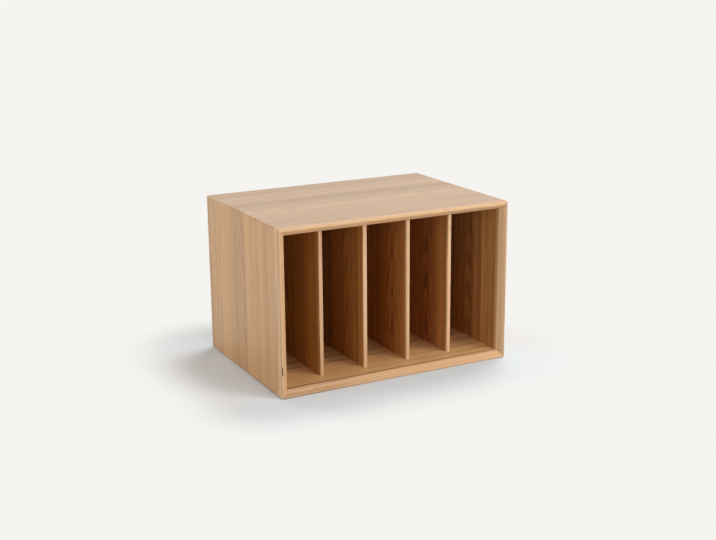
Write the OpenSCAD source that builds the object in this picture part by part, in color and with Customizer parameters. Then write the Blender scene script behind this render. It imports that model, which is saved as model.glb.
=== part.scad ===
// Record storage stand: a mitred oak case that is open at the front, with thin upright
// dividers and a back that is screwed into a rebate. Solid oak lippings with an inward
// bevel frame the opening. Millimetres, +Z up, front towards -Y, origin on the floor
// below the middle of the case.

/* [Case] */
// Overall width
case_w = 566; // [480:2:680]
// Overall depth, front edge to rear edge
case_d = 400; // [360:5:460]
// Overall height above the floor, felt pads included
case_h = 370; // [360:5:420]
// Thickness of the four case boards
board_t = 17; // [15:1:20]
// Radius of the eased outer edges
arris_r = 2.5; // [0.8:0.1:3]

/* [Front lippings] */
// Depth of the solid strips along the front of the boards
lipping_d = 20; // [18:1:26]
// Width of the flat land outside the bevel
land_w = 6.5; // [5.5:0.5:8]
// How far the inner edge of the bevel lies behind the front
bevel_d = 12; // [8:1:16]
// Thickness of the tongue that glues into the board
lip_tongue_t = 5; // [4:0.5:6]
// Depth of that tongue
lip_tongue_d = 6; // [4:0.5:7]

/* [Dividers] */
// Number of dividers, an even number, evenly spaced
divider_count = 4; // [2:2:6]
// Thickness of a divider
divider_t = 9; // [6:1:12]
// How far the dividers stand behind the front
divider_setback = 53; // [40:1:80]
// Height of the tongue along the top and bottom of a divider
divider_tongue_h = 5; // [3:0.5:6]
// Length of the plain shoulder in front of the tongue
divider_shoulder = 12; // [10:1:20]
// Depth of the solid oak strip on the front edge of a divider
divider_edge_d = 6; // [3:0.5:8]
// Radius of the eased front edges of a divider
divider_edge_r = 1; // [0.6:0.1:2]

/* [Corner splines] */
// Thickness of the loose tongues in the mitres
spline_t = 4; // [3:0.5:5]
// Width of the loose tongues, across the mitre
spline_w = 14; // [10:1:16]
// Distance from the inside corner to the tongue, along the board
spline_inset = 6.4; // [5:0.1:7]

/* [Back] */
// Thickness of the back panel
back_t = 9; // [6:1:10]
// Width of the rebate around the back panel
rebate_w = 10; // [9:0.5:11]
// How far the back panel lies inside the rear edges
back_inset = 1; // [0.5:0.5:3]

/* [Screws] */
// Radius of the screw shanks
screw_r = 1.6; // [1.5:0.05:2]
// Length of the screws
screw_l = 28; // [22:1:32]
// Radius of the countersunk heads
head_r = 3.4; // [3:0.1:3.6]
// Height of the countersunk heads
head_h = 2.2; // [2:0.1:3]

/* [Felt pads] */
// Radius of a felt pad
pad_r = 12; // [8:0.5:14]
// Thickness of a felt pad
pad_t = 3; // [2.5:0.5:4]
// How far a pad stands below the case
pad_proud = 1; // [0.5:0.5:2]
// Distance from the side of the case to the middle of a pad
pad_inset_x = 40; // [30:1:60]
// Distance from the front or rear of the case to the middle of a pad
pad_inset_y = 50; // [40:1:80]

/* [Inlay] */
// Width of the plain dark inlay in the left lipping
inlay_w = 2.5; // [1.5:0.5:2.5]
// Height of the inlay
inlay_h = 17; // [10:1:30]
// Depth of the inlay
inlay_d = 2; // [1.5:0.5:3]
// Distance from the side of the case to the inlay
inlay_from_side = 1.3; // [1:0.1:2.5]
// Height of the middle of the inlay above the floor
inlay_z = 63; // [50:1:120]

/* [Hidden] */
$fn = 48;
cut = 0.02;
clearance = 0.1;
tongue_gap = 0.3; // behind the tongue of a lipping, in its groove
divider_groove_gap = 0.4; // past the edge of a divider's tongue
divider_groove_lead = 1; // in front of that tongue
spline_front_gap = 3; // from the tongue of a lipping to a spline
spline_rear_gap = 8; // from a spline to the back panel
back_gap = 0.5; // between the back panel and the sides of its rebate
inlay_gap = 0.05;
side_row_share = 0.37; // of the inner height, from the middle to the outer screws of a side
screw_hole_extra = 1; // beyond the point of a screw

half_w = case_w / 2;
mid_z = (pad_proud + case_h) / 2;
inner_w = case_w - 2 * board_t;
inner_h = case_h - pad_proud - 2 * board_t;
front_y = -case_d / 2;
rear_y = case_d / 2;
panel_front_y = front_y + lipping_d;
rebate_d = back_t + back_inset;
back_front_y = rear_y - rebate_d;
back_rear_y = back_front_y + back_t;

compartment_w = (inner_w - divider_count * divider_t) / (divider_count + 1);
divider_pitch = compartment_w + divider_t;
divider_front_y = front_y + divider_setback;
groove_front_y = divider_front_y + divider_shoulder - divider_groove_lead;
groove_h = divider_tongue_h + divider_groove_gap;

spline_front_y = panel_front_y + lip_tongue_d + spline_front_gap;
spline_rear_y = back_front_y - spline_rear_gap;

screw_rows = [for (bay = [0:2:divider_count]) (bay - divider_count / 2) * divider_pitch];
side_screw_rows = [for (step = [-1:1]) step * side_row_share * inner_h];
// Cross recess of a screw: length and width of its arms, and its depth
recess_l = 4.2;
recess_t = 0.9;
recess_d = 1.5;

panel_color = [0.80, 0.69, 0.57];
side_color = [0.74, 0.61, 0.48];
lipping_color = [0.86, 0.71, 0.56];
divider_color = [0.62, 0.44, 0.28];
edge_color = [0.83, 0.66, 0.51];
back_color = [0.70, 0.56, 0.42];
spline_color = [0.76, 0.62, 0.44];
steel_color = [0.66, 0.66, 0.68];
felt_color = [0.30, 0.28, 0.26];
inlay_color = [0.33, 0.20, 0.12];

sides = [["left", -1], ["right", 1]];
levels = ["top", "bottom"];
depths = [["front", -1], ["rear", 1]];

function board_run(place) =
    place == "top" || place == "bottom" ? case_w : case_h - pad_proud;
function rows_for(place) =
    place == "top" || place == "bottom" ? screw_rows : side_screw_rows;
function divider_x(i) = -inner_w / 2 + i * divider_pitch - divider_t / 2;

// A board is drawn lying along X with its outer face up at z = 0, and put in its place here
module put(place) {
    if (place == "top")
        translate([0, 0, case_h]) children();
    if (place == "bottom")
        translate([0, 0, pad_proud]) mirror([0, 0, 1]) children();
    if (place == "left")
        translate([-half_w, 0, mid_z]) rotate([0, -90, 0]) children();
    if (place == "right")
        translate([half_w, 0, mid_z]) rotate([0, 90, 0]) children();
}

// End view of a board: 45 degree mitres and eased outer corners
module board_end(run) {
    intersection() {
        polygon([
            [-run / 2, 0],
            [run / 2, 0],
            [run / 2 - board_t, -board_t],
            [-run / 2 + board_t, -board_t]
        ]);
        union() {
            translate([-run / 2 + arris_r, -board_t])
                square([run - 2 * arris_r, board_t]);
            translate([-run / 2, -board_t])
                square([run, board_t - arris_r]);
            for (end = [-1, 1])
                translate([end * (run / 2 - arris_r), -arris_r])
                    circle(arris_r);
        }
    }
}

module board_blank(run, from_y, to_y) {
    translate([0, to_y, 0])
        rotate([90, 0, 0])
            linear_extrude(to_y - from_y)
                board_end(run);
}

// The outer front corner of a lipping's section, outside the arc that eases it
module eased_corner() {
    difference() {
        translate([front_y - cut, -arris_r])
            square(arris_r + cut);
        translate([front_y + arris_r, -arris_r])
            circle(arris_r);
    }
}

// Section of a front lipping, y to the right and z up: land, bevel, inner face and tongue
module lipping_section() {
    tongue_mid = -board_t / 2;
    tongue_end = panel_front_y + lip_tongue_d;
    difference() {
        polygon([
            [front_y, 0],
            [panel_front_y, 0],
            [panel_front_y, tongue_mid + lip_tongue_t / 2],
            [tongue_end, tongue_mid + lip_tongue_t / 2],
            [tongue_end, tongue_mid - lip_tongue_t / 2],
            [panel_front_y, tongue_mid - lip_tongue_t / 2],
            [panel_front_y, -board_t],
            [front_y + bevel_d, -board_t],
            [front_y, -land_w]
        ]);
        eased_corner();
    }
}

module lipping(place) {
    run = board_run(place);
    put(place)
        intersection() {
            rotate([90, 0, 90])
                linear_extrude(run, center = true)
                    lipping_section();
            board_blank(run, front_y, panel_front_y + lip_tongue_d);
        }
}

module tongue_groove(run) {
    groove_t = lip_tongue_t + 2 * clearance;
    translate([-run / 2, panel_front_y - cut, -board_t / 2 - groove_t / 2])
        cube([run, lip_tongue_d + tongue_gap + cut, groove_t]);
}

module rebate(run) {
    translate([-run / 2, back_front_y, -board_t - cut])
        cube([run, rebate_d + cut, rebate_w + cut]);
}

// A bar along Y, across the mitre at one end of a board
module mitre_bar(run, end, width, thickness) {
    out = run / 2 - board_t + spline_inset;
    length = spline_rear_y - spline_front_y;
    translate([end * out, spline_front_y + length / 2, -board_t + spline_inset])
        rotate([0, end * 45, 0])
            cube([width, length, thickness], center = true);
}

module mitre_slots(run) {
    for (end = [-1, 1])
        mitre_bar(run, end, spline_w + 2 * clearance, spline_t + 2 * clearance);
}

module divider_grooves() {
    groove_t = divider_t + 2 * clearance;
    for (i = [1:divider_count])
        translate([divider_x(i) - groove_t / 2, groove_front_y, -board_t - cut])
            cube([groove_t, back_front_y - groove_front_y + cut, groove_h + cut]);
}

// Screw places around the back, in the middle of the rebate
module at_screws(place) {
    for (row = rows_for(place))
        translate([row, back_rear_y, -board_t + rebate_w / 2])
            rotate([90, 0, 0])
                children();
}

module screw_holes(place) {
    at_screws(place)
        cylinder(h = screw_l + screw_hole_extra, r = screw_r + clearance);
}

module at_pads() {
    for (depth = depths, side = sides)
        translate([side[1] * (half_w - pad_inset_x), depth[1] * (rear_y - pad_inset_y), 0])
            children();
}

module pad_recesses() {
    at_pads()
        translate([0, 0, pad_proud - pad_t])
            cylinder(h = pad_t, r = pad_r + clearance);
}

module panel(place) {
    run = board_run(place);
    put(place)
        difference() {
            board_blank(run, panel_front_y, rear_y);
            tongue_groove(run);
            rebate(run);
            mitre_slots(run);
            screw_holes(place);
            if (place == "top" || place == "bottom")
                divider_grooves();
            if (place == "bottom")
                pad_recesses();
        }
}

module top_panel() color(panel_color) panel("top");

module bottom_panel() color(panel_color) panel("bottom");

module left_panel() color(side_color) panel("left");

module right_panel() color(side_color) panel("right");

module top_lipping() color(lipping_color) lipping("top");

module bottom_lipping() color(lipping_color) lipping("bottom");

module right_lipping() color(lipping_color) lipping("right");

// The inlay's block, grown on all sides to make its mortise
module inlay_block(grow) {
    put("left")
        translate([inlay_z - mid_z, front_y, -inlay_from_side - inlay_w / 2])
            translate([-inlay_h / 2 - grow, -grow, -inlay_w / 2 - grow])
                cube([inlay_h + 2 * grow, inlay_d + 2 * grow, inlay_w + 2 * grow]);
}

module left_lipping() {
    color(lipping_color)
        difference() {
            lipping("left");
            inlay_block(inlay_gap);
        }
}

// The inlay is flush with the lipping, also where its outer edge is eased
module inlay() {
    color(inlay_color)
        intersection() {
            lipping("left");
            inlay_block(0);
        }
}

module corner_spline(level, end) {
    color(spline_color)
        put(level)
            mitre_bar(board_run(level), end, spline_w, spline_t);
}

module screw() {
    difference() {
        union() {
            cylinder(h = head_h, r1 = head_r, r2 = screw_r);
            cylinder(h = screw_l, r = screw_r);
        }
        for (turn = [0, 90])
            rotate([0, 0, turn])
                translate([-recess_l / 2, -recess_t / 2, -cut])
                    cube([recess_l, recess_t, recess_d]);
    }
}

module countersink() {
    cylinder(h = back_t + cut, r = screw_r + clearance);
    translate([0, 0, -cut])
        cylinder(h = head_h + cut, r1 = head_r + clearance, r2 = screw_r + clearance);
}

module back_panel() {
    grow = rebate_w - back_gap;
    color(back_color)
        difference() {
            translate([-inner_w / 2 - grow, back_front_y, mid_z - inner_h / 2 - grow])
                cube([inner_w + 2 * grow, back_t, inner_h + 2 * grow]);
            for (place = ["top", "bottom", "left", "right"])
                put(place)
                    at_screws(place)
                        countersink();
        }
}

module back_panel_screws() {
    color(steel_color)
        for (place = ["top", "bottom", "left", "right"])
            put(place)
                at_screws(place)
                    screw();
}

// A divider board with its tongues, behind the solid strip on its front edge
module divider(i) {
    board_front_y = divider_front_y + divider_edge_d;
    tongue_front_y = divider_front_y + divider_shoulder;
    color(divider_color)
        translate([divider_x(i) - divider_t / 2, 0, mid_z]) {
            translate([0, board_front_y, -inner_h / 2])
                cube([divider_t, back_front_y - board_front_y, inner_h]);
            translate([0, tongue_front_y, -inner_h / 2 - divider_tongue_h])
                cube([
                    divider_t,
                    back_front_y - tongue_front_y,
                    inner_h + 2 * divider_tongue_h
                ]);
        }
}

// Plan view of the strip: its two front corners are eased
module divider_edge_plan() {
    half_t = divider_t / 2;
    inner_x = half_t - divider_edge_r;
    polygon([
        [-half_t, divider_edge_d],
        [-half_t, divider_edge_r],
        [-inner_x, 0],
        [inner_x, 0],
        [half_t, divider_edge_r],
        [half_t, divider_edge_d]
    ]);
    for (end = [-1, 1])
        translate([end * inner_x, divider_edge_r])
            circle(divider_edge_r);
}

module divider_edge(i) {
    color(edge_color)
        translate([divider_x(i), divider_front_y, mid_z - inner_h / 2])
            linear_extrude(inner_h)
                divider_edge_plan();
}

module felt_pad(depth, side) {
    color(felt_color)
        translate([side * (half_w - pad_inset_x), depth * (rear_y - pad_inset_y), 0])
            cylinder(h = pad_t, r = pad_r);
}

top_panel();
bottom_panel();
left_panel();
right_panel();
top_lipping();
bottom_lipping();
left_lipping();
right_lipping();
for (level = levels, side = sides)
    corner_spline(level, side[1]);
back_panel();
back_panel_screws();
for (i = [1:divider_count])
    divider(i);
for (i = [1:divider_count])
    divider_edge(i);
for (depth = depths, side = sides)
    felt_pad(depth[1], side[1]);
inlay();
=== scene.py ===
# Record storage stand: a mitred oak case with bevelled lippings and four thin dividers.
import math

import bmesh
import bpy
from mathutils import Matrix, Vector


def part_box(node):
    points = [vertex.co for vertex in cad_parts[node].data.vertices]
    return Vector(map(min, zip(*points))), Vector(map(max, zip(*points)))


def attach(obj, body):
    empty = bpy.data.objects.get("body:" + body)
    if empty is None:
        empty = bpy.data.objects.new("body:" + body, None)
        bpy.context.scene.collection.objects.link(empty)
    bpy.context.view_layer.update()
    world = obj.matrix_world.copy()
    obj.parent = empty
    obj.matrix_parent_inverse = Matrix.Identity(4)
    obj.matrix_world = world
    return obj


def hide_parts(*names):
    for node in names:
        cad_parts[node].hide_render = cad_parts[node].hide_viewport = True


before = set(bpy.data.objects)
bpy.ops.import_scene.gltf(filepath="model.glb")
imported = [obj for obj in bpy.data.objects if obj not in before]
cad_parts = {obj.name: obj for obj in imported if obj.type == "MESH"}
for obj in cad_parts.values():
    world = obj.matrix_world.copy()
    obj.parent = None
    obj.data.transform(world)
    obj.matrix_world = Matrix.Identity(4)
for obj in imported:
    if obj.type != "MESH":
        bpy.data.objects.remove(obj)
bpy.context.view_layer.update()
scene = bpy.context.scene
mm = 0.001

# sizes, read from the frame
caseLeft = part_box("left_panel")[0].x
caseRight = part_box("right_panel")[1].x
caseBottom, floorTop = (corner.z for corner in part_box("bottom_panel"))
ceiling, caseTop = (corner.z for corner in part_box("top_panel"))
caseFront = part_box("top_lipping")[0].y
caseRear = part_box("top_panel")[1].y
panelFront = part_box("top_panel")[0].y
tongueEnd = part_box("top_lipping")[1].y
backFront, backRear = (corner.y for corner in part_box("back_panel"))
boardThick = caseTop - ceiling
caseWidth = caseRight - caseLeft
caseHeight = caseTop - caseBottom
middleZ = (caseTop + caseBottom) / 2
print("case", round(caseWidth, 4), round(caseRear - caseFront, 4), round(caseHeight, 4))


# camera, with its angles in degrees, its lens and sensor in mm and its distances in m
cameraSet = {
    "azimuth": -27.85,
    "elevation": 15.15,
    "roll": -0.45,
    "lookAt": (0.006, 0.0, 0.1995),
    "distance": 2.8,
    "lens": 60.7,
    "sensor": 36.0,
    "seesTo": 200.0,
}


def facing(target, turn, rise, far):
    # the place of a camera or lamp that looks at the target, turn degrees from straight in front towards
    # the right and rise degrees above the floor
    turn, rise = math.radians(turn), math.radians(rise)
    away = Vector((math.sin(turn) * math.cos(rise), -math.cos(turn) * math.cos(rise), math.sin(rise)))
    look = away.to_track_quat("Z", "Y").to_matrix().to_4x4()
    return Matrix.Translation(Vector(target) + away * far) @ look


def addCamera():
    lens = bpy.data.cameras.new("camera")
    lens.lens = cameraSet["lens"]
    lens.sensor_width = cameraSet["sensor"]
    lens.sensor_fit = "HORIZONTAL"
    lens.clip_end = cameraSet["seesTo"]
    camera = bpy.data.objects.new("camera", lens)
    scene.collection.objects.link(camera)
    azimuth, elevation = cameraSet["azimuth"], cameraSet["elevation"]
    place = facing(cameraSet["lookAt"], azimuth, elevation, cameraSet["distance"])
    camera.matrix_world = place @ Matrix.Rotation(math.radians(cameraSet["roll"]), 4, "Z")
    scene.camera = camera


# shader helpers
class Wire:  # a shader socket that can stand in a sum
    def __init__(self, paint, socket):
        self.paint = paint
        self.socket = socket

    def of(self, name):  # another output of the same node
        return Wire(self.paint, self.socket.node.outputs[name])

    def __add__(self, other):
        return self.paint.maths("ADD", self, other)

    def __radd__(self, other):
        return self.paint.maths("ADD", other, self)

    def __sub__(self, other):
        return self.paint.maths("SUBTRACT", self, other)

    def __rsub__(self, other):
        return self.paint.maths("SUBTRACT", other, self)

    def __mul__(self, other):
        return self.paint.maths("MULTIPLY", self, other)

    def __rmul__(self, other):
        return self.paint.maths("MULTIPLY", other, self)

    def __truediv__(self, other):
        return self.paint.maths("DIVIDE", self, other)

    def __pow__(self, other):
        return self.paint.maths("POWER", self, other)

    def __abs__(self):
        return self.paint.maths("ABSOLUTE", self)


class Paint:  # the nodes of one material, or of the world
    def __init__(self, owner):
        owner.use_nodes = True
        self.owner = owner
        self.tree = owner.node_tree
        self.tree.nodes.clear()

    def node(self, kind, settings=None, values=None, output=0):
        made = self.tree.nodes.new(kind)
        for key, setting in (settings or {}).items():
            if key == "stops":
                self.setStops(made.color_ramp, setting)
            else:
                setattr(made, key, setting)
        for key, value in (values or {}).items():
            if isinstance(value, Wire):
                self.tree.links.new(value.socket, made.inputs[key])
            else:
                made.inputs[key].default_value = value
        return Wire(self, made.outputs[output]) if made.outputs else None

    def setStops(self, ramp, stops):
        while len(ramp.elements) < len(stops):
            ramp.elements.new(0.5)
        for element, (position, colour) in zip(ramp.elements, stops):
            element.position = position
            element.color = colour if len(colour) == 4 else (*colour, 1.0)

    def maths(self, operation, *values):
        return self.node("ShaderNodeMath", {"operation": operation}, dict(enumerate(values)))

    def ease(self, value, low, high):  # 0 below low, 1 above high
        return self.node(
            "ShaderNodeMapRange",
            {"interpolation_type": "SMOOTHSTEP"},
            {"Value": value, "From Min": low, "From Max": high},
        )

    def ramp(self, position, stops, between="LINEAR"):
        made = self.node("ShaderNodeValToRGB", {"stops": stops}, {"Fac": position})
        made.socket.node.color_ramp.interpolation = between
        return made

    def mix(self, factor, first, second, blend="MIX"):
        settings = {"data_type": "RGBA", "blend_type": blend}
        return self.node("ShaderNodeMix", settings, {0: factor, 6: first, 7: second}, output=2)

    def vector(self, x, y, z):
        return self.node("ShaderNodeCombineXYZ", None, {0: x, 1: y, 2: z})

    def split(self, colour):
        return self.node("ShaderNodeSeparateColor", None, {0: colour})

    def noise(self, vector, scale=1.0, detail=2.0, roughness=0.5):
        values = {"Vector": vector, "Scale": scale, "Detail": detail, "Roughness": roughness}
        return self.node("ShaderNodeTexNoise", {"noise_dimensions": "3D"}, values)

    def bump(self, height, deep, strength):
        values = {"Strength": strength, "Distance": deep, "Height": height}
        return self.node("ShaderNodeBump", None, values)

    def placeInMm(self):  # x, y and z of the point on the object, in millimetres
        place = self.node("ShaderNodeTexCoord").of("Object")
        axes = self.node("ShaderNodeSeparateXYZ", None, {0: place})
        return {axis: axes.of(axis.upper()) * (1 / mm) for axis in "xyz"}

    def finish(self, shader, output="ShaderNodeOutputMaterial"):
        self.node(output, None, {"Surface": shader})
        return self.owner


def linear(red, green, blue):  # screen colour, 0 to 255, as the shader wants it
    steps = [c / 255 for c in (red, green, blue)]
    return tuple(c / 12.92 if c <= 0.04045 else ((c + 0.055) / 1.055) ** 2.4 for c in steps) + (1.0,)


def times(colour, factors):  # a colour made lighter or darker, by a factor for each channel
    return tuple(min(1.0, c * factor) for c, factor in zip(colour, factors)) + (1.0,)


def share(value, low, high):  # 0 at low, 1 at high
    return (value - low) * (1 / (high - low))


# oak, with its lengths in mm
oak = {
    "ringWidth": 2.6,  # from one growth ring to the next
    "uneven": 1.6,  # by how many rings their spacing wanders
    "wander": 2.4,  # how far the grain wanders aside
    "inwards": 1.6,  # how far the rings wander into the board
    "lean": 0.03,  # how far the cut leaves the heart in each mm along the grain
    "heartAside": 600.0,  # the furthest that the heart of the tree can lie to a side
    "heartDeep": 200.0,  # and below the face
    "leafApart": 173.0,  # how far apart in the noise the marks of the leaves are taken
    "earlyBegins": (0.0, 0.14),  # the share of a ring over which its early wood sets in
    "earlyEnds": (0.20, 0.80),  # and over which it fades
    "earlyMean": 0.4,
    "earlyShade": (0.10, 0.34),  # how dark it is in straight grain, and how much more in a cathedral
    "ringShade": (0.06, 0.10),  # how much one ring differs from the next, in the same way
    "latePores": 0.25,  # how plain the pores are in late wood, against 1 in early wood
    "poreCut": (0.07, 0.22),  # the levels of its noise at which a mark begins and is full
    "rayCut": (0.20, 0.30),
    "lineCut": (0.20, 0.34),
    "plain": 0.42,  # the depth of shade of unmarked wood
    "middle": 0.45,  # the depth at which a board has its own colour, from 0 for pale to 1 for dark
    "pale": (1.26, 1.30, 1.34),  # late wood, times the board's colour
    "dark": (0.50, 0.42, 0.34),  # early wood
    "hollow": (0.42, 0.42, 0.42),  # pores and rays
    "poreMark": 0.5,  # how much of that colour they take
    "rayMark": 0.14,
    "core": 0.5,  # within this of its middle a board turns from its outer colour to its inner one
    "rough": 0.50,
    "poreRough": 0.18,
    "fibreRough": 0.15,
    "wearRough": -0.05,
    "bump": 0.6,
    "poreDeep": 0.05,
    "fibreHigh": 0.2,  # for each unit of a pore's depth
    "earlyDeep": 0.06,
    "bends": 1.45,  # index of refraction
    "lacquer": 0.5,
    "lacquerRough": 0.36,
    "wear": 0.14,  # how much of the pale colour shows on the eased edges of the case, as wear, and along an inner arris, as wear and painted highlight
    "wearFrom": 0.7,  # the distance from them at which it begins to fade
    "wearWide": 1.6,
    "patch": 25.0,  # about the size of the patches in it
    "handled": (5.0, 60.0),  # it grows from nothing to its full strength between these heights
    "arrisLine": (0.8, 1.7),  # the distances over which it fades round the inner arris of a lipping
    "arrisWearAndHighlight": 1.6,
}
# marks drawn out along the grain: length, width, place in the noise, and how much detail
marks = {
    "wander": (260, 70, 3.1, 1.0),
    "inwards": (240, 90, 8.7, 1.0),
    "uneven": (1200, 15, 5.3, 1.0),
    "pores": (6.0, 0.28, 11.9, 0.0),
    "rays": (10.0, 0.6, 23.3, 0.0),
    "fibre": (160, 0.8, 17.0, 1.0),
    "fine": (700, 2.8, 41.6, 0.5),
    "bands": (1500, 7.0, 29.4, 1.0),
    "broad": (2200, 26, 37.7, 1.0),
    "lines": (520, 1.7, 53.9, 0.0),
    "cloud": (70, 30, 61.3, 1.0),
}
# how much the streaks of tone darken the wood
streaks = {"fibre": 0.30, "fine": 0.75, "bands": 0.75, "broad": 0.55, "lines": 0.22, "cloud": 0.16}


def leafStops(leaves, low, high):
    # a veneer leaf is its far edge, its tone, how far aside and how deep the heart of its tree lies,
    # and how plainly its rings show, from 0 for straight grain to 1 for a full cathedral
    stops = []
    edge = low
    for far, tone, aside, deep, figure in leaves:
        heart = share((edge + far) / 2 + aside, -oak["heartAside"], oak["heartAside"])
        stops.append((share(edge, low, high), (0.5 + tone, heart, deep / oak["heartDeep"], figure)))
        edge = far
    return stops


def shades(colour):
    # pale late wood, the board's own colour and dark early wood
    pale, dark = times(colour, oak["pale"]), times(colour, oak["dark"])
    return [(0.0, pale), (oak["middle"], colour), (1.0, dark)]


class Oak(Paint):  # one board or strip of oak
    def __init__(self, name, look):
        super().__init__(bpy.data.materials.new(name))
        self.look = look
        self.place = self.placeInMm()
        # along the grain, across it, through the board, and the depth below its outer face
        self.u, self.v, self.w = (self.place[axis] for axis in look["axes"])
        self.into = (self.w - look["face"]) * look["inward"]
        low, high = look["span"]
        table = self.ramp(share(self.v, low, high), leafStops(look["leaves"], low, high), "CONSTANT")
        leaf = self.split(table)
        self.tone = leaf.of("Red") - 0.5
        for key, along in (("across", self.v), ("along", self.u)):
            if key in look:
                self.tone = self.tone + self.drift(along, look[key])
        self.heartSide = leaf.of("Green") * (2 * oak["heartAside"]) - oak["heartAside"]
        self.heartDeep = leaf.of("Blue") * oak["heartDeep"]
        self.figure = table.of("Alpha")
        self.shift = leaf.of("Green") * oak["leafApart"] + look["seed"]
        self.grainSide = self.v + self.drawn("wander") * (2 * oak["wander"])

    def drift(self, along, stops):  # a slow change of tone between (mm, tone) points
        first, last = stops[0][0], stops[-1][0]
        greys = [(share(at, first, last), (0.5 + tone,) * 3) for at, tone in stops]
        return self.split(self.ramp(share(along, first, last), greys)) - 0.5

    def drawn(self, mark, wandering=False):  # noise drawn out along the grain, -0.5 to 0.5
        length, width, seed, detail = marks[mark]
        side = self.grainSide if wandering else self.v
        place = self.vector(self.u / length + seed, side / width + self.shift, self.w / width + seed)
        return self.noise(place, detail=detail) - 0.5

    def rings(self):
        # growth rings round the heart of the tree: how early the wood is in a ring, and the ring's tone
        sideways = self.grainSide - self.heartSide
        inwards = self.into + self.heartDeep + self.u * self.look.get("lean", oak["lean"])
        inwards = inwards + self.drawn("inwards") * (2 * oak["inwards"])
        radius = (sideways * sideways + inwards * inwards) ** 0.5
        width = self.look.get("ringWidth", oak["ringWidth"])
        count = radius / width + self.drawn("uneven") * oak["uneven"]
        ring = self.maths("FLOOR", count)
        within = count - ring
        early = self.ease(within, *oak["earlyBegins"]) * (1 - self.ease(within, *oak["earlyEnds"]))
        tone = self.node("ShaderNodeTexWhiteNoise", {"noise_dimensions": "1D"}, {"W": ring}) - 0.5
        return early, tone

    def plainly(self, shade):  # the shade of a ring, which shows more in a leaf with more figure
        return shade[0] + self.figure * shade[1]

    def grain(self, early, ringTone, fibre):  # how much darker than plain wood
        grain = (early - oak["earlyMean"]) * self.plainly(oak["earlyShade"])
        grain = grain + ringTone * self.plainly(oak["ringShade"]) + streaks["fibre"] * fibre
        for mark in ("fine", "bands", "broad"):
            grain = grain + streaks[mark] * self.drawn(mark, wandering=True)
        lines = self.ease(self.drawn("lines", wandering=True), *oak["lineCut"])
        return grain + streaks["lines"] * lines + streaks["cloud"] * self.drawn("cloud")

    def colour(self, grain, pores, wornAndHighlit):
        own = self.look["colour"]
        contrast = self.look.get("contrast", 1.0)
        if "inside" in self.look:
            middle = self.look["thick"] / 2
            inner = self.ease(self.into, middle - oak["core"], middle + oak["core"])
            contrast = contrast + inner * (self.look["insideContrast"] - contrast)
        colour = self.ramp(oak["plain"] + grain * contrast - self.tone, shades(own))
        hollow = times(own, oak["hollow"])
        rays = self.ease(self.drawn("rays"), *oak["rayCut"])
        colour = self.mix(rays * oak["rayMark"], colour, hollow)
        colour = self.mix(pores * oak["poreMark"], colour, hollow)
        # the inner faces take the inside colour: painted shade on the walls and painted light on the
        # floor of the compartments
        if "inside" in self.look:
            ratio = tuple(a / b for a, b in zip(self.look["inside"], own))
            colour = self.mix(inner, colour, self.mix(1.0, colour, ratio, "MULTIPLY"))
        return self.mix(wornAndHighlit * oak["wear"], colour, times(own, oak["pale"]))

    def wornAndHighlit(self):
        # 1 on the eased outer edges of the case, where the lacquer is thin, and along an inner arris,
        # where the pale line is wear and painted highlight
        aside = caseRight / mm - abs(self.place["x"])
        ahead = caseRear / mm - abs(self.place["y"])
        above = caseHeight / mm / 2 - abs(self.place["z"] - middleZ / mm)
        least = self.maths("MINIMUM", aside, ahead)
        most = self.maths("MAXIMUM", aside, ahead)
        edge = self.maths("MAXIMUM", least, self.maths("MINIMUM", most, above))
        patchy = self.noise(self.vector(*self.place.values()), scale=1 / oak["patch"])
        fades = self.ease(edge + patchy, oak["wearFrom"], oak["wearFrom"] + oak["wearWide"])
        wornAndHighlit = self.ease(self.place["z"], *oak["handled"]) * (1 - fades)
        # the pale line along the inner arris of a lipping is wear and painted highlight
        if "innerArris" not in self.look:
            return wornAndHighlit
        arris = self.look["innerArris"]
        away = self.maths("MAXIMUM", abs(self.v - arris), abs(self.w - bevelEnd / mm))
        onArris = 1 - self.ease(away, *oak["arrisLine"])
        return self.maths("MAXIMUM", wornAndHighlit, onArris * oak["arrisWearAndHighlight"])


def oakPaint(name, look):
    wood = Oak(name, look)
    early, ringTone = wood.rings()
    pores = wood.ease(wood.drawn("pores"), *oak["poreCut"])
    pores = pores * (oak["latePores"] + (1 - oak["latePores"]) * early)
    fibre = wood.drawn("fibre", wandering=True)
    wornAndHighlit = wood.wornAndHighlit()
    rough = oak["rough"] + pores * oak["poreRough"] + fibre * oak["fibreRough"] + wornAndHighlit * oak["wearRough"]
    height = fibre * oak["fibreHigh"] - early * oak["earlyDeep"] - pores
    values = {
        "Base Color": wood.colour(wood.grain(early, ringTone, fibre), pores, wornAndHighlit),
        "Roughness": rough,
        "Normal": wood.bump(height, oak["poreDeep"] * mm, oak["bump"]),
        "IOR": oak["bends"],
        "Coat Weight": oak["lacquer"],
        "Coat Roughness": oak["lacquerRough"],
    }
    return wood.finish(wood.node("ShaderNodeBsdfPrincipled", None, values))


# mesh helpers
roundSides = 32  # of a hole, a head or a shank
same = 1e-6  # m, below which two places are one


def near(a, b):
    return abs(a - b) < same


def edgesWhere(bm, test):
    return [edge for edge in bm.edges if all(test(vert.co) for vert in edge.verts)]


def soften(bm, edges, rounding):
    width, steps = rounding
    made = bmesh.ops.bevel(
        bm,
        geom=edges,
        offset=width,
        offset_type="OFFSET",
        segments=steps,
        profile=0.5,
        affect="EDGES",
        clamp_overlap=True,
        material=-1,
    )
    for face in made["faces"]:
        face.smooth = True


def cut(bm, point, normal, clear=False):
    # splits the faces along a plane, and can take off what lies beyond it
    return bmesh.ops.bisect_plane(
        bm,
        geom=bm.verts[:] + bm.edges[:] + bm.faces[:],
        plane_co=point,
        plane_no=normal,
        clear_outer=clear,
    )


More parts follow.
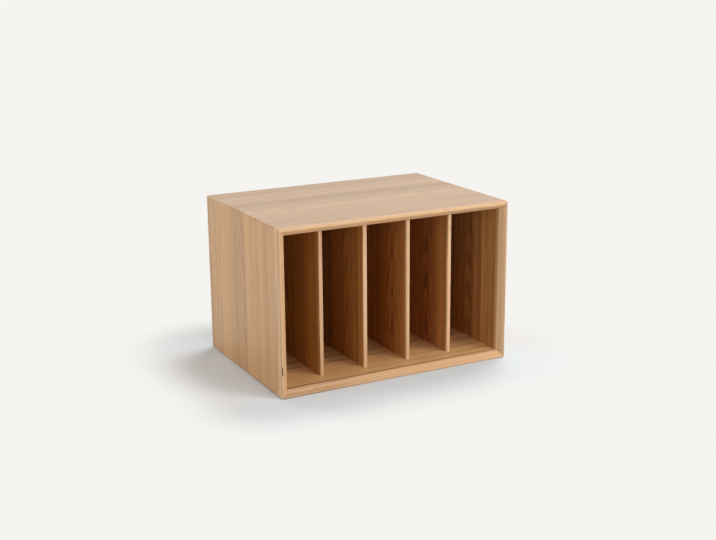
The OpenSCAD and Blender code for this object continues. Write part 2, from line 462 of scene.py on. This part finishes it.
def cutEnd(bm, point, normal):
    # takes off what lies beyond the plane and closes the end
    made = cut(bm, point, normal, clear=True)
    rim = [item for item in made["geom_cut"] if isinstance(item, bmesh.types.BMEdge)]
    bmesh.ops.holes_fill(bm, edges=rim, sides=0)


def prism(outline, run):
    # an outline of (y, z) points, drawn out along x
    bm = bmesh.new()
    face = bm.faces.new([bm.verts.new((-run / 2, y, z)) for y, z in outline])
    pushed = bmesh.ops.extrude_face_region(bm, geom=[face])
    moved = [item for item in pushed["geom"] if isinstance(item, bmesh.types.BMVert)]
    bmesh.ops.translate(bm, verts=moved, vec=(run, 0, 0))
    bmesh.ops.recalc_face_normals(bm, faces=bm.faces)
    return bm


def block(low, high):
    bm = bmesh.new()
    size = Vector(high) - Vector(low)
    centre = Matrix.Translation((Vector(high) + Vector(low)) / 2)
    bmesh.ops.create_cube(bm, size=1.0, matrix=centre @ Matrix.Diagonal((*size, 1.0)))
    return bm


def rod(start, end, radius, sides=roundSides):
    bm = bmesh.new()
    axis = Vector(end) - Vector(start)
    turn = axis.to_track_quat("Z", "Y").to_matrix().to_4x4()
    bmesh.ops.create_cone(
        bm,
        cap_ends=True,
        segments=sides,
        radius1=radius,
        radius2=radius,
        depth=axis.length,
        matrix=Matrix.Translation((Vector(start) + Vector(end)) / 2) @ turn,
    )
    return bm


def turned(profile, x, z):
    # (radius, y) points spun round a line along y
    bm = bmesh.new()
    line = [bm.verts.new((radius, y, 0)) for radius, y in profile]
    edges = [bm.edges.new(pair) for pair in zip(line, line[1:])]
    bmesh.ops.spin(
        bm,
        geom=line + edges,
        cent=(0, 0, 0),
        axis=(0, 1, 0),
        angle=math.tau,
        steps=roundSides,
        use_merge=True,
    )
    bmesh.ops.remove_doubles(bm, verts=bm.verts, dist=same)
    bmesh.ops.recalc_face_normals(bm, faces=bm.faces)
    bmesh.ops.translate(bm, verts=bm.verts, vec=(x, 0, z))
    return bm


def joinAll(parts):
    whole = bmesh.new()
    for part in parts:
        mesh = bpy.data.meshes.new("part")
        part.to_mesh(mesh)
        part.free()
        whole.from_mesh(mesh)
        bpy.data.meshes.remove(mesh)
    return whole


def addObject(name, bm):
    mesh = bpy.data.meshes.new(name)
    bm.to_mesh(mesh)
    bm.free()
    made = bpy.data.objects.new(name, mesh)
    scene.collection.objects.link(made)
    return made


def keepPiece(name, bm, material, node):
    piece = addObject(name, bm)
    piece.data.materials.append(material)
    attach(piece, "root")
    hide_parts(node)
    return piece


def carve(piece, bm, operation="DIFFERENCE"):
    # takes the shape in bm out of the piece, or keeps only what the two share
    cutter = addObject("cutter", bm)
    away = piece.modifiers.new("carve", "BOOLEAN")
    away.operation = operation
    away.solver = "EXACT"
    away.object = cutter
    shaped = piece.evaluated_get(bpy.context.evaluated_depsgraph_get())
    mesh = bpy.data.meshes.new_from_object(shaped)
    piece.modifiers.remove(away)
    piece.data = mesh
    bpy.data.objects.remove(cutter)


# the four boards and their lippings; a rounding is its width and its number of steps
boards = {
    "arris": (2.5 * mm, 5),
    "rearArris": (0.8 * mm, 3),
    "land": 6.5 * mm,
    "bevelDeep": 12.0 * mm,
    "landEase": (0.4 * mm, 3),
    "innerEase": (1.2 * mm, 3),
    "seam": 0.02 * mm,  # by which a board stands back at a glued joint
    "seamEase": (0.07 * mm, 1),
    "tongueThick": 5.0 * mm,
    "rebateWide": 10.0 * mm,
    "rebateEase": (0.4 * mm, 2),
    "play": 0.1 * mm,  # round what sits in a groove or a hole
}
bevelEnd = caseFront + boards["bevelDeep"]
turns = {"top": 0, "bottom": 180, "left": -90, "right": 90}


def placeOf(side):
    # a board is made lying along x with its outer face up at z = 0, then turned into place
    centre = {
        "top": (0, 0, caseTop),
        "bottom": (0, 0, caseBottom),
        "left": (caseLeft, 0, middleZ),
        "right": (caseRight, 0, middleZ),
    }[side]
    return Matrix.Translation(centre) @ Matrix.Rotation(math.radians(turns[side]), 4, "Y")


def runOf(side):
    return caseWidth if side in ("top", "bottom") else caseHeight


def outerCorners(bm, run):  # the corners along y where the outer faces of two boards meet
    ends = edgesWhere(bm, lambda co: near(abs(co.x), run / 2) and near(co.z, 0))
    return [edge for edge in ends if near(edge.verts[0].co.x, edge.verts[1].co.x)]


def rimEdges(bm, y):  # the outer edges of a front or rear face
    flat = edgesWhere(bm, lambda co: near(co.y, y))
    low = min(vert.co.z for edge in flat for vert in edge.verts)
    return [edge for edge in flat if not all(near(vert.co.z, low) for vert in edge.verts)]


def edgesAlong(bm, y, *heights):  # the long edges at these heights
    return edgesWhere(bm, lambda co: near(co.y, y) and any(near(co.z, height) for height in heights))


def turnIn(bm, side):
    # mitres the ends of a board or lipping and turns it into place
    inset = runOf(side) / 2 - boards["seam"]
    cutEnd(bm, (inset, 0, 0), (1, 0, -1))
    cutEnd(bm, (-inset, 0, 0), (-1, 0, -1))
    bmesh.ops.transform(bm, matrix=placeOf(side), verts=bm.verts)


def makeLipping(side, material):
    run = runOf(side)
    tongueTop = (boards["tongueThick"] - boardThick) / 2
    tongueFoot = -tongueTop - boardThick
    outline = [
        (caseFront, 0),
        (panelFront, 0),
        (panelFront, tongueTop),
        (tongueEnd, tongueTop),
        (tongueEnd, tongueFoot),
        (panelFront, tongueFoot),
        (panelFront, -boardThick),
        (bevelEnd, -boardThick),
        (caseFront, -boards["land"]),
    ]
    bm = prism(outline, run)
    soften(bm, outerCorners(bm, run) + rimEdges(bm, caseFront), boards["arris"])
    soften(bm, edgesAlong(bm, caseFront, -boards["land"]), boards["landEase"])
    soften(bm, edgesAlong(bm, bevelEnd, -boardThick), boards["innerEase"])
    turnIn(bm, side)
    return keepPiece(side + "Lipping", bm, material, side + "_lipping")


def makePanel(side, material):
    run = runOf(side)
    front = panelFront + boards["seam"]
    grooveEnd = tongueEnd + boards["play"]
    grooveTop = (boards["tongueThick"] - boardThick) / 2 + boards["play"]
    grooveFoot = -grooveTop - boardThick
    shoulder = boards["rebateWide"] - boardThick
    outline = [
        (front, 0),
        (caseRear, 0),
        (caseRear, shoulder),
        (backFront, shoulder),
        (backFront, -boardThick),
        (front, -boardThick),
        (front, grooveFoot),
        (grooveEnd, grooveFoot),
        (grooveEnd, grooveTop),
        (front, grooveTop),
    ]
    bm = prism(outline, run)
    soften(bm, outerCorners(bm, run), boards["arris"])
    soften(bm, rimEdges(bm, caseRear), boards["rearArris"])
    soften(bm, edgesAlong(bm, front, 0, -boardThick), boards["seamEase"])
    soften(bm, edgesAlong(bm, caseRear, shoulder), boards["rebateEase"])
    turnIn(bm, side)
    return keepPiece(side + "Panel", bm, material, side + "_panel")


# what is cut into the boards for the pieces that they hold
joints = {
    "past": 0.02 * mm,  # how far a cutter reaches out of the face that it opens
    "grooveDeeper": 0.4 * mm,  # than the divider's tongue
    "grooveLonger": 1.0 * mm,
    "splineWide": 14.0 * mm,
    "splineThick": 4.0 * mm,
    "holeDeeper": 1.0 * mm,  # than the screw
}
splineNodes = ["top_left_spline", "top_right_spline", "bottom_left_spline", "bottom_right_spline"]
padNodes = ["front_left_pad", "front_right_pad", "rear_left_pad", "rear_right_pad"]


def dividerGrooves(side):
    cutters = []
    for number in range(1, dividers["count"] + 1):
        low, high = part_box("divider_%d" % number)
        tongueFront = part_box("divider_%d_edge" % number)[1].y + dividers["tongueSet"]
        if side == "top":
            floor, roof = ceiling - joints["past"], high.z + joints["grooveDeeper"]
        else:
            floor, roof = low.z - joints["grooveDeeper"], floorTop + joints["past"]
        cutters.append(block(
            (low.x - boards["play"], tongueFront - joints["grooveLonger"], floor),
            (high.x + boards["play"], backFront + joints["past"], roof),
        ))
    return cutters


def splineSlots(side):
    cutters = []
    for node in splineNodes:
        if side not in node:
            continue
        low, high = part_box(node)
        centre = (low + high) / 2
        half = Vector((joints["splineWide"], high.y - low.y, joints["splineThick"])) / 2
        half += Vector((boards["play"],) * 3)
        bar = block(-half, half)
        lean = 45 if (centre.x > 0) == (centre.z > middleZ) else -45  # across the mitre
        turn = Matrix.Rotation(math.radians(lean), 4, "Y")
        bmesh.ops.transform(bar, matrix=Matrix.Translation(centre) @ turn, verts=bar.verts)
        cutters.append(bar)
    return cutters


def screwHoles(side):
    low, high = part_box(side + "_panel")
    point = backRear - back["length"] - joints["holeDeeper"]
    return [
        rod((x, backFront + joints["past"], z), (x, point, z), back["shankRadius"] + boards["play"])
        for x, z in screwPlaces()
        if low.x < x < high.x and low.z < z < high.z
    ]


def padRod(node, play, sides):  # a pad, or with some play the recess that it sits in
    low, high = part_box(node)
    x, y = (low.x + high.x) / 2, (low.y + high.y) / 2
    return rod((x, y, low.z), (x, y, high.z), (high.x - low.x) / 2 + play, sides)


def cutJoints(side, panel):
    cutters = splineSlots(side) + screwHoles(side)
    if side in ("top", "bottom"):
        cutters += dividerGrooves(side)
    if side == "bottom":
        cutters += [padRod(node, boards["play"], roundSides) for node in padNodes]
    carve(panel, joinAll(cutters))


# dividers
dividers = {
    "count": 4,
    "tongueSet": 6.0 * mm,  # from the front of the board to its tongues
    "frontRound": (0.8 * mm, 4),
    "ease": (0.08 * mm, 1),
}


def makeDivider(number, material, edgeMaterial):
    node = "divider_%d" % number
    low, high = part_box(node)
    edgeLow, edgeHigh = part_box(node + "_edge")
    front = edgeHigh.y + boards["seam"]
    tongueFront = front + dividers["tongueSet"]
    bm = block((low.x, front, floorTop), (high.x, high.y, ceiling))
    cut(bm, (0, tongueFront, 0), (0, 1, 0))
    for level, lift in ((ceiling, high.z - ceiling), (floorTop, low.z - floorTop)):
        ends = [
            face
            for face in bm.faces
            if near(face.calc_center_median().z, level) and face.calc_center_median().y > tongueFront
        ]
        tongue = bmesh.ops.extrude_discrete_faces(bm, faces=ends)["faces"][0]
        bmesh.ops.translate(bm, verts=tongue.verts, vec=(0, 0, lift))
    soften(bm, edgesWhere(bm, lambda co: near(co.y, front)), dividers["ease"])
    keepPiece("divider%d" % number, bm, material, node)

    bm = block(edgeLow, edgeHigh)
    frontEdges = edgesWhere(bm, lambda co: near(co.y, edgeLow.y) and near(co.x, edgeLow.x))
    frontEdges += edgesWhere(bm, lambda co: near(co.y, edgeLow.y) and near(co.x, edgeHigh.x))
    soften(bm, frontEdges, dividers["frontRound"])
    keepPiece("divider%dEdge" % number, bm, edgeMaterial, node + "_edge")


# back panel and its screws
back = {
    "ease": (0.4 * mm, 2),
    "headRadius": 3.4 * mm,
    "headHigh": 2.2 * mm,
    "headSunk": 0.05 * mm,
    "headRound": (0.3 * mm, 0.2 * mm),  # off its radius, and down
    "sinkRim": 0.1 * mm,
    "shankRadius": 1.6 * mm,
    "length": 28.0 * mm,
    "point": 3.0 * mm,
    "crossLong": 4.2 * mm,
    "crossWide": 0.9 * mm,
    "crossDeep": 1.5 * mm,
    "firstTurn": 23,  # degrees that the cross of the first screw is turned
    "nextTurn": 57,  # and how much further each next one is
    "apart": 10.0 * mm,  # less than from one screw to the next, and more than the width of a head
}


def screwPlaces():
    # read from the screws in the frame: the middle of each head, at the rear of the back panel
    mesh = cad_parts["back_panel_screws"].data
    rear = [vert.co for vert in mesh.vertices if near(vert.co.y, backRear)]
    groups = []
    for co in rear:
        for group in groups:
            if (group[0] - co).length < back["apart"]:
                group.append(co)
                break
        else:
            groups.append([co])
    places = []
    for group in groups:
        xs = [co.x for co in group]
        zs = [co.z for co in group]
        places.append(((min(xs) + max(xs)) / 2, (min(zs) + max(zs)) / 2))
    return places


def driverCross(place, turn):
    # the hollow that a cross-head driver fits, as a closed shape to cut with
    half = Vector((back["crossWide"] / 2, back["crossDeep"], back["crossWide"] / 2))
    bm = block(-half, half)
    bm.normal_update()
    sides = [face for face in bm.faces if near(face.normal.y, 0)]
    pushed = bmesh.ops.extrude_discrete_faces(bm, faces=sides)
    bm.normal_update()
    reach = (back["crossLong"] - back["crossWide"]) / 2
    for face in pushed["faces"]:
        bmesh.ops.translate(bm, verts=face.verts, vec=face.normal * reach)
    bmesh.ops.recalc_face_normals(bm, faces=bm.faces)
    matrix = Matrix.Translation(place) @ Matrix.Rotation(turn, 4, "Y")
    bmesh.ops.transform(bm, matrix=matrix, verts=bm.verts)
    return bm


def makeBack(material, steel):
    low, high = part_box("back_panel")
    bm = block(low, high)
    soften(bm, edgesWhere(bm, lambda co: near(co.y, high.y)), back["ease"])
    panel = keepPiece("backPanel", bm, material, "back_panel")
    places = screwPlaces()
    sinkRadius = back["headRadius"] + boards["play"]
    holeRadius = back["shankRadius"] + boards["play"]
    sink = [
        (0, backRear + mm),
        (sinkRadius, backRear + mm),
        (sinkRadius, backRear - back["sinkRim"]),
        (holeRadius, backRear - back["headHigh"]),
        (holeRadius, backFront - mm),
        (0, backFront - mm),
    ]
    carve(panel, joinAll([turned(sink, x, z) for x, z in places]))

    head = backRear - back["headSunk"]
    aside, down = back["headRound"]
    screw = [
        (0, head),
        (back["headRadius"] - aside, head),
        (back["headRadius"], head - down),
        (back["shankRadius"], head - back["headHigh"]),
        (back["shankRadius"], head - back["length"] + back["point"]),
        (0, head - back["length"]),
    ]
    shapes = joinAll([turned(screw, x, z) for x, z in places])
    screws = keepPiece("backScrews", shapes, steel, "back_panel_screws")
    crosses = [
        driverCross((x, head, z), math.radians(back["firstTurn"] + back["nextTurn"] * index))
        for index, (x, z) in enumerate(places)
    ]
    carve(screws, joinAll(crosses))


# felt pads
pads = {"ease": (0.5 * mm, 3), "sides": 64}


def makePad(node, material):
    bm = padRod(node, 0, pads["sides"])
    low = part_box(node)[0].z
    soften(bm, edgesWhere(bm, lambda co: near(co.z, low)), pads["ease"])
    words = node.split("_")
    name = words[0] + "".join(word.capitalize() for word in words[1:])
    keepPiece(name, bm, material, node)


# inlay, whose front follows the lipping's
inlaySet = {"ease": (0.1 * mm, 1), "gap": 0.05 * mm, "past": 1.0 * mm}


def makeInlay(lipping, material):
    low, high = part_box("inlay")
    start = low - Vector((0, inlaySet["past"], 0))
    bm = block(start, high)
    soften(bm, edgesWhere(bm, lambda co: near(co.y, high.y)), inlaySet["ease"])
    inlay = keepPiece("frontInlay", bm, material, "inlay")
    whole = bmesh.new()
    whole.from_mesh(lipping.data)
    carve(inlay, whole, "INTERSECT")
    gap = Vector((inlaySet["gap"], 0, inlaySet["gap"]))
    carve(lipping, block(start - gap, high + gap))


# other finishes, each with a fine speckle
finishes = {
    "zincSteel": {"colour": linear(190, 188, 184), "rough": 0.35, "metal": 1.0, "speckle": 0.05},
    "woolFelt": {"colour": linear(78, 73, 68), "rough": 0.95, "metal": 0.0, "speckle": 0.35},
    "darkInlay": {"colour": linear(104, 66, 36), "rough": 0.5, "metal": 0.0, "speckle": 0.2},
    "birchPly": {"colour": linear(206, 176, 134), "rough": 0.6, "metal": 0.0, "speckle": 0.08},
}
specks = {"scale": 1.6, "detail": 4.0, "roughness": 0.7, "deep": 0.1 * mm, "bump": 0.4, "rough": 0.2}


def plainPaint(name):
    finish = finishes[name]
    paint = Paint(bpy.data.materials.new(name))
    place = paint.placeInMm()
    vector = paint.vector(place["x"], place["y"], place["z"])
    speckle = paint.noise(vector, specks["scale"], specks["detail"], specks["roughness"])
    light = times(finish["colour"], (1 + finish["speckle"],) * 3)
    dark = times(finish["colour"], (1 - finish["speckle"],) * 3)
    values = {
        "Base Color": paint.mix(speckle, dark, light),
        "Roughness": finish["rough"] + (speckle - 0.5) * specks["rough"],
        "Metallic": finish["metal"],
        "Normal": paint.bump(speckle, specks["deep"], specks["bump"]),
    }
    return paint.finish(paint.node("ShaderNodeBsdfPrincipled", None, values))


# stage and light, in metres
stage = {
    "paper": linear(245, 244, 240),
    "floor": (0.845, 0.865, 0.87, 1.0),
    "nearFloor": (0.80, 0.86, 0.895, 1.0),  # beside the case, where the oak's glow falls on the paper
    "nearTo": 0.13,
    "reach": 60.0,
    "fadeFrom": 0.08,  # from the case, where the lit floor begins to turn into plain paper
    "fadeTo": 0.25,
}
# turn is degrees from straight in front towards the right, rise is degrees above the floor, and at a
# strength of 1 a lamp alone lights a surface that faces it so that its colour renders as written
lamps = {
    "keyRight": {"turn": 40, "rise": 12, "far": 5.0, "wide": 2.4, "strength": 0.74},
    "overFront": {"turn": 10, "rise": 62, "far": 4.5, "wide": 2.2, "strength": 0.33},
    "overRight": {"turn": 120, "rise": 62, "far": 4.5, "wide": 2.2, "strength": 0.50},
    "frontLeft": {"turn": 300, "rise": 12, "far": 5.0, "wide": 2.4, "strength": 0.19},
    "left": {"turn": 270, "rise": 25, "far": 5.0, "wide": 2.4, "strength": 0.275},
    "lowBack": {"turn": 205, "rise": 12, "far": 5.0, "wide": 2.4, "strength": 0.43},
}
# a lamp below this rise is seen in the lacquer as a screen so many times as wide, which is too dim to
# bleach the top at a flat angle
sheen = {"below": 45, "wider": 2.5}


def addLamp(name, lamp, wide, diffuse, glossy):
    light = bpy.data.lights.new(name, "AREA")
    light.shape = "SQUARE"
    light.size = wide
    light.energy = lamp["strength"] * (math.pi * lamp["far"]) ** 2
    holder = bpy.data.objects.new(name, light)
    holder.visible_camera = False
    holder.visible_diffuse = diffuse
    holder.visible_glossy = glossy
    scene.collection.objects.link(holder)
    holder.matrix_world = facing((0, 0, middleZ), lamp["turn"], lamp["rise"], lamp["far"])


def addLamps():
    for name, lamp in lamps.items():
        low = lamp["rise"] < sheen["below"]
        addLamp(name, lamp, lamp["wide"], diffuse=True, glossy=not low)
        if low:
            addLamp(name + "Sheen", lamp, lamp["wide"] * sheen["wider"], diffuse=False, glossy=True)


def paperSeen(paint):  # 1 for rays that see the paper: from the camera, off a surface or through glass
    ray = paint.node("ShaderNodeLightPath")
    seen = paint.maths("MAXIMUM", ray.of("Is Camera Ray"), ray.of("Is Glossy Ray"))
    return paint.maths("MAXIMUM", seen, ray.of("Is Transmission Ray"))


def addWorld():
    paint = Paint(bpy.data.worlds.new("studio"))
    values = {"Color": stage["paper"], "Strength": paperSeen(paint)}
    glow = paint.node("ShaderNodeBackground", None, values)
    scene.world = paint.finish(glow, "ShaderNodeOutputWorld")


def addFloor():
    paint = Paint(bpy.data.materials.new("paperFloor"))
    place = paint.placeInMm()
    beside = paint.maths("MAXIMUM", abs(place["x"]) - caseWidth / 2 / mm, 0.0)
    ahead = paint.maths("MAXIMUM", abs(place["y"]) - caseRear / mm, 0.0)
    far = (beside * beside + ahead * ahead) ** 0.5
    blend = paint.ease(far, stage["fadeFrom"] / mm, stage["fadeTo"] / mm) * paperSeen(paint)
    away = paint.ease(far, 0.0, stage["nearTo"] / mm)
    colour = paint.mix(away, stage["nearFloor"], stage["floor"])
    lit = paint.node("ShaderNodeBsdfDiffuse", None, {"Color": colour})
    glow = paint.node("ShaderNodeEmission", None, {"Color": stage["paper"], "Strength": 1.0})
    bm = bmesh.new()
    bmesh.ops.create_grid(bm, x_segments=1, y_segments=1, size=stage["reach"])
    floor = addObject("floor", bm)
    shader = paint.node("ShaderNodeMixShader", None, {0: blend, 1: lit, 2: glow})
    floor.data.materials.append(paint.finish(shader))


# build
addCamera()
addLamps()
addWorld()
addFloor()
print("camera, lamps and floor")

# colours of the oak, as they would show on a screen
woods = {
    "top": linear(176, 142, 108),
    "side": linear(178, 133, 83),
    # inner is painted shade: the faces inside the case, more saturated than the outside
    "inner": linear(182, 130, 74),
    # floor is painted light: the floor of the compartments, lighter than the outside
    "floor": linear(214, 167, 112),
    "solid": linear(197, 156, 114),
    "foot": linear(196, 152, 107),
    "strip": linear(212, 169, 127),
    "back": linear(176, 136, 96),
}
# leaves of veneer from front to rear, as leafStops reads them
topLeaves = [
    (-140, 0.00, 70, 12, 0.2),
    (-62, 0.01, 60, 10, 0.3),
    (12, 0.00, 6, 70, 0.35),
    (64, -0.01, 65, 9, 0.2),
    (118, 0.01, 80, 12, 0.3),
    (200, 0.00, 60, 10, 0.2),
]
sideLeaves = [
    (-122, 0.00, 70, 8, 0.15),
    (-42, 0.00, 75, 9, 0.25),
    (44, 0.00, 4, 70, 0.3),
    (92, 0.00, 70, 12, 0.15),
    (144, 0.01, 85, 12, 0.15),
    (200, -0.01, 60, 10, 0.2),
]
innerLeaves = [
    (-138, 0.00, 80, 10, 0.3),
    (-20, 0.00, 12, 60, 0.7),
    (60, 0.00, 65, 12, 0.3),
    (200, 0.00, 70, 10, 0.3),
]
# a look names the axes along the grain, across it and through the board, and says where its outer face is
# and which way is inwards from there, all in mm; this much the four boards share
boardLook = {
    "span": (caseFront / mm, caseRear / mm),
    "thick": boardThick / mm,
    "colour": woods["side"],
    "contrast": 0.95,
    "inside": woods["inner"],
    "insideContrast": 1.6,
}
# what each board has of its own; across and along are drifts of tone, the first from front to rear
panelLooks = {
    "top": {
        "axes": "xyz",
        "face": caseTop / mm,
        "inward": -1,
        "leaves": topLeaves,
        "across": [
            (-200, 0.02), (-145, 0.02), (-90, 0.08), (-42, 0.24),
            (-7, 0.06), (50, -0.12), (100, 0.14), (185, -0.10),
        ],
        "seed": 4.0,
        "colour": woods["top"],
        "contrast": 0.8,
    },
    "bottom": {
        "axes": "xyz",
        "face": caseBottom / mm,
        "inward": 1,
        "leaves": topLeaves,
        # across is painted light: the floor is lighter at the front, where light comes in, and darker
        # deeper inside
        "across": [(-180, 0.08), (-148, 0.08), (-118, -0.03), (184, -0.03)],
        "along": [
            (-283, 0.02), (-200, 0.00), (-60, 0.05), (60, 0.20),
            (170, 0.22), (230, 0.10), (283, 0.10),
        ],
        "seed": 31.0,
        "inside": woods["floor"],
        "insideContrast": 1.5,
    },
    "left": {
        "axes": "zyx",
        "face": caseLeft / mm,
        "inward": 1,
        "leaves": sideLeaves,
        "across": [
            (-200, 0.06), (-166, 0.06), (-129, -0.10), (-105, 0.02), (-68, 0.02),
            (-46, 0.18), (-8, -0.02), (36, -0.04), (53, -0.08), (76, 0.00),
            (106, 0.14), (138, 0.00), (184, 0.00),
        ],
        "seed": 57.0,
    },
    "right": {
        "axes": "zyx",
        "face": caseRight / mm,
        "inward": -1,
        "leaves": innerLeaves,
        "across": [
            (-182, 0.10), (-158, -0.02), (-145, 0.08),
            (-116, -0.02), (-90, 0.00), (184, 0.00),
        ],
        "seed": 83.0,
    },
}
for side, look in panelLooks.items():
    cutJoints(side, makePanel(side, oakPaint(side + "Oak", {**boardLook, **look})))
print("panels")


def stripLook(axes, face, seed, colour, tone=0.0):  # solid oak, which is one leaf, wider than any strip
    return {
        "axes": axes,
        "span": (-1000, 1000),
        "leaves": [(1000, tone, 75, 9, 0.3)],
        "face": face / mm,
        "inward": 1,
        "seed": seed,
        "colour": colour,
    }


lippingLooks = {
    "top": {
        **stripLook("xzy", caseFront, 101.0, woods["solid"]),
        "innerArris": ceiling / mm,
        # across is a drift of tone up the strip; the lighter front land is painted highlight along the
        # top front edge
        "across": [(353, 0.20), (362, 0.20), (366, 0.16), (369, 0.12), (370, -0.10)],
    },
    "bottom": {
        **stripLook("xzy", caseFront, 114.0, woods["foot"]),
        "innerArris": floorTop / mm,
        # along is painted light: the strip is darker at the left end and lighter towards the right, as if
        # lit from the front right
        "along": [(-283, -0.15), (-150, -0.12), (0, 0.08), (150, 0.20), (283, 0.35)],
    },
    "left": {
        **stripLook("zxy", caseFront, 127.0, woods["solid"]),
        "innerArris": (caseLeft + boardThick) / mm,
        "across": [(-283, -0.15), (-282, 0.0), (-277, 0.0), (-275, 0.28), (-266, 0.28)],
    },
    "right": {
        **stripLook("zxy", caseFront, 140.0, woods["solid"]),
        "innerArris": (caseRight - boardThick) / mm,
        "across": [(266, 0.10), (275, 0.05), (277, -0.22), (283, -0.22)],
    },
}
lippings = {}
for side, look in lippingLooks.items():
    lippings[side] = makeLipping(side, oakPaint(side + "LippingOak", look))
print("lippings")

# the dividers, from the left, and the strips on their front edges
# each divider's colour is its own tone and also painted shade: more saturated than the case's outside, as
# in the shade of a compartment
dividerLooks = [
    {
        "colour": linear(178, 127, 64),
        "leaves": [
            (-104, 0.00, 75, 10, 0.2),
            (-20, 0.00, 70, 12, 0.3),
            (90, 0.00, 6, 60, 0.6),
            (200, 0.00, 70, 10, 0.3),
        ],
        "seed": 217.0,
        "edgeTone": -0.1,
        "edgeSeed": 311.0,
    },
    {
        "colour": linear(176, 120, 60),
        "leaves": [
            (-112, 0.00, 65, 10, 0.2),
            (-30, 0.00, 4, 50, 0.5),
            (60, 0.00, 75, 12, 0.3),
            (200, 0.00, 60, 10, 0.2),
        ],
        "seed": 234.0,
        "edgeTone": 0.0,
        "edgeSeed": 322.0,
    },
    {
        "colour": linear(173, 113, 58),
        "leaves": [
            (-126, 0.00, 60, 12, 0.3),
            (-40, 0.00, 3, 60, 0.9),
            (70, 0.00, 70, 12, 0.3),
            (200, 0.00, 60, 10, 0.2),
        ],
        "seed": 251.0,
        "edgeTone": 0.0,
        "edgeSeed": 333.0,
    },
    {
        "colour": linear(176, 118, 64),
        "leaves": [
            (-106, 0.00, 70, 12, 0.3),
            (-8, 0.00, 2, 50, 0.9),
            (80, 0.00, 65, 12, 0.3),
            (200, 0.00, 60, 10, 0.2),
        ],
        "seed": 268.0,
        "edgeTone": -0.1,
        "edgeSeed": 344.0,
    },
]
for number, own in enumerate(dividerLooks, 1):
    node = "divider_%d" % number
    look = {
        "axes": "zyx",
        "span": boardLook["span"],
        "leaves": own["leaves"],
        "face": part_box(node)[0].x / mm,
        "inward": 1,
        "seed": own["seed"],
        "colour": own["colour"],
        "contrast": 1.7,
        "ringWidth": 3.6,
        "lean": 0.035,
    }
    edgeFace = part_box(node + "_edge")[0].y
    edgeLook = stripLook("zxy", edgeFace, own["edgeSeed"], woods["strip"], own["edgeTone"])
    board = oakPaint("dividerOak%d" % number, look)
    makeDivider(number, board, oakPaint("dividerEdgeOak%d" % number, edgeLook))
print("dividers")

backLook = {
    "axes": "xzy",
    "span": (0, 370),
    "leaves": [
        (90, 0.00, 70, 10, 0.2),
        (190, 0.02, 6, 70, 0.5),
        (280, -0.02, 80, 12, 0.2),
        (370, 0.00, 60, 10, 0.3),
    ],
    "face": backRear / mm,
    "inward": -1,
    "thick": (backRear - backFront) / mm,
    "seed": 401.0,
    "colour": woods["back"],
    "contrast": 0.8,
    "inside": woods["inner"],
    "insideContrast": 1.2,
}
makeBack(oakPaint("backOak", backLook), plainPaint("zincSteel"))
felt = plainPaint("woolFelt")
for node in padNodes:
    makePad(node, felt)
makeInlay(lippings["left"], plainPaint("darkInlay"))
birch = plainPaint("birchPly")
for node in splineNodes:
    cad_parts[node].data.materials.clear()
    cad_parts[node].data.materials.append(birch)
print("back, screws, pads, inlay and splines")

scene.view_settings.view_transform = "Standard"
